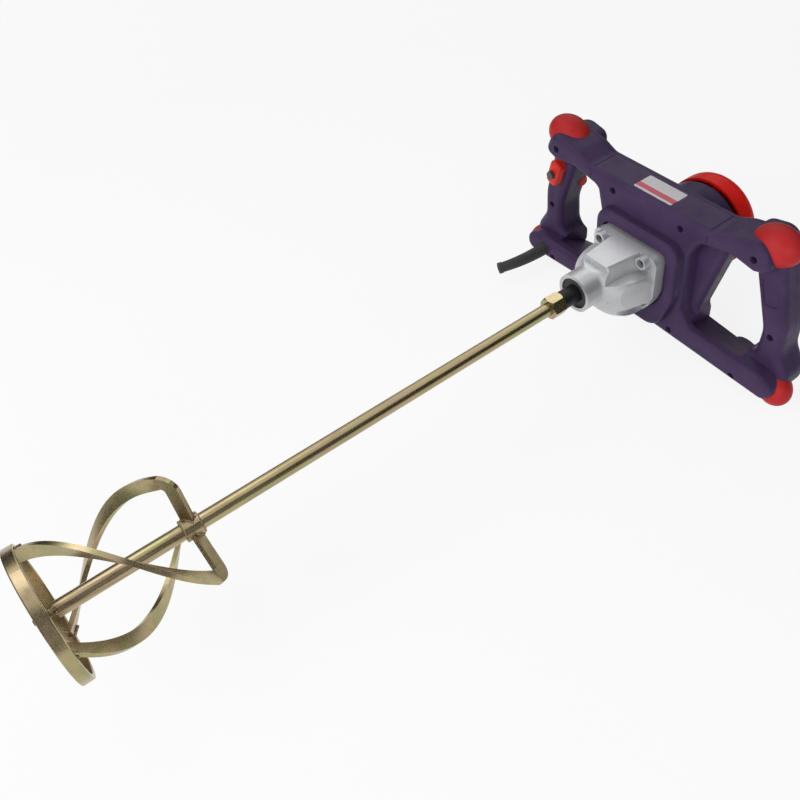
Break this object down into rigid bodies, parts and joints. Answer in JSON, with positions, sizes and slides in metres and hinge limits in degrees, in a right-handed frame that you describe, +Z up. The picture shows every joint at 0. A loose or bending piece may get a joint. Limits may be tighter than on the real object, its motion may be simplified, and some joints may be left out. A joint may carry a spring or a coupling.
{
  "type": "paddle mixing drill",
  "caption": "Two-handed electric mixing drill with a frame housing, corner bumpers, die-cast gear case and a screwed-in spiral mixing paddle.",
  "frame": {"origin": "centre of the gear case collar's front rim, on the spindle axis", "axes": "-Y along the spindle towards the paddle, +X towards the right grip seen from the paddle's side with +Z up, +Z up as the mixer stands on its lower bumpers"},
  "size_m": [0.4004, 0.8057, 0.2031],
  "materials": {
    "housing": "moulded, fine grain",
    "bumper": "satin rubber",
    "cap": "satin",
    "alloy": "die-cast, bead blasted",
    "zinc": "yellow passivated zinc",
    "black_steel": "blackened",
    "steel": "ground",
    "bronze": "sintered bronze",
    "screw": "black zinc",
    "seal": "matte",
    "laminate": "stacked sheet",
    "copper": "enamelled wire",
    "dark_plastic": "moulded",
    "carbon": "pressed carbon",
    "trigger": "moulded",
    "boot": "matte"
  },
  "bodies": {
    "housing": {"armature_front_bearing": "steel", "armature_rear_bearing": "steel", "bearing_plate": "alloy", "bottom_bumper_left": "bumper", "bottom_bumper_right": "bumper", "brush_holders": "bronze", "brush_springs": "steel", "cap_screws": "screw", "carbon_brushes": "carbon", "case_screws": "screw", "cord_boot": "boot", "end_cap": "cap", "field_coils": "copper", "front_shell": "housing", "gear_case": "alloy", "grip_blank": "housing", "housing_screws": "screw", "layshaft_front_bush": "bronze", "layshaft_rear_bush": "bronze", "lock_spring": "steel", "motor_bracket": "alloy", "rear_shell": "housing", "spindle_front_bearing": "steel", "spindle_rear_bearing": "steel", "spindle_seal": "seal", "stator_core": "laminate", "switch_body": "dark_plastic", "top_bumper_left": "bumper", "top_bumper_right": "bumper", "trigger_spring": "steel"},
    "spindle": {"spindle": "black_steel", "output_gear": "steel", "paddle_rod": "zinc", "paddle_hex": "zinc", "paddle_hub": "zinc", "paddle_ring": "zinc", "paddle_crossbar": "zinc", "paddle_ribbon_1": "zinc", "paddle_ribbon_2": "zinc", "paddle_ribbon_3": "zinc"},
    "layshaft": {"layshaft": "steel", "layshaft_gear": "steel"},
    "armature": {"armature_shaft": "steel", "armature_core": "laminate", "armature_winding": "copper", "commutator": "copper", "cooling_fan": "dark_plastic"},
    "trigger": {"trigger": "trigger"},
    "speed_dial": {"speed_dial": "dark_plastic"},
    "lock_button": {"lock_button": "trigger"}
  },
  "joints": [
    {"name": "spindle_spin", "type": "hinge", "parent": "housing", "child": "spindle", "pos_m": [0, 0, 0], "axis": [0, -1, 0], "continuous": true},
    {"name": "layshaft_spin", "type": "hinge", "parent": "housing", "child": "layshaft", "pos_m": [0.02138, 0.08, -0.007], "axis": [0, -1, 0], "continuous": true},
    {"name": "armature_spin", "type": "hinge", "parent": "housing", "child": "armature", "pos_m": [0, 0.16, -0.014], "axis": [0, -1, 0], "continuous": true},
    {"name": "trigger_pull", "type": "slide", "parent": "housing", "child": "trigger", "axis": [0, 1, 0], "range_m": [0, 0.008], "stiffness_N_per_m": 600, "springref_m": -0.004, "deforming": ["trigger_spring"]},
    {"name": "speed_turn", "type": "hinge", "parent": "trigger", "child": "speed_dial", "pos_m": [-0.152, 0.109, 0.025], "axis": [0, 1, 0], "range_deg": [-135, 135]},
    {"name": "lock_press", "type": "slide", "parent": "housing", "child": "lock_button", "axis": [-1, 0, 0], "range_m": [0, 0.003], "stiffness_N_per_m": 500, "springref_m": -0.003, "deforming": ["lock_spring"]}
  ],
  "couplings": [
    {"joint": "layshaft_spin", "follows": "spindle_spin", "ratio": -4},
    {"joint": "armature_spin", "follows": "spindle_spin", "ratio": 16}
  ]
}
